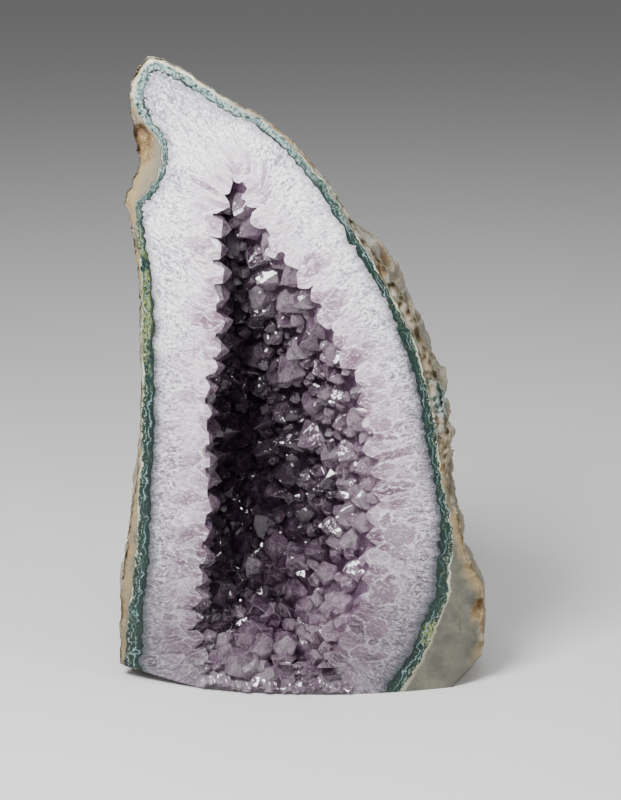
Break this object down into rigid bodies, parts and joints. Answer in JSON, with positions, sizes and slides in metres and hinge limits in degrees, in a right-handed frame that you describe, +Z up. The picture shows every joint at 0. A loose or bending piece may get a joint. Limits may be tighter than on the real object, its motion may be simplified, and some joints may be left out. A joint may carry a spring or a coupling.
{
  "type": "amethyst geode",
  "caption": "Tall cut geode that stands on a flat sawn base, its polished face framing a deep hollow lined with purple crystal points.",
  "frame": {"origin": "middle of the stone's bounding box, on the plane of the sawn base", "axes": "+X to the right of the cut face, +Y from the cut face into the stone, +Z up towards the tip"},
  "size_m": [0.1778, 0.1294, 0.3],
  "materials": {
    "basalt": "rough weathered rock with a flat sawn cut face",
    "celadonite": "polished",
    "white_quartz": "polished",
    "amethyst": "glassy"
  },
  "bodies": {
    "root": {"basalt_rind": "basalt", "green_band": "celadonite", "quartz_wall": "white_quartz", "amethyst_crust": "amethyst"}
  },
  "joints": []
}
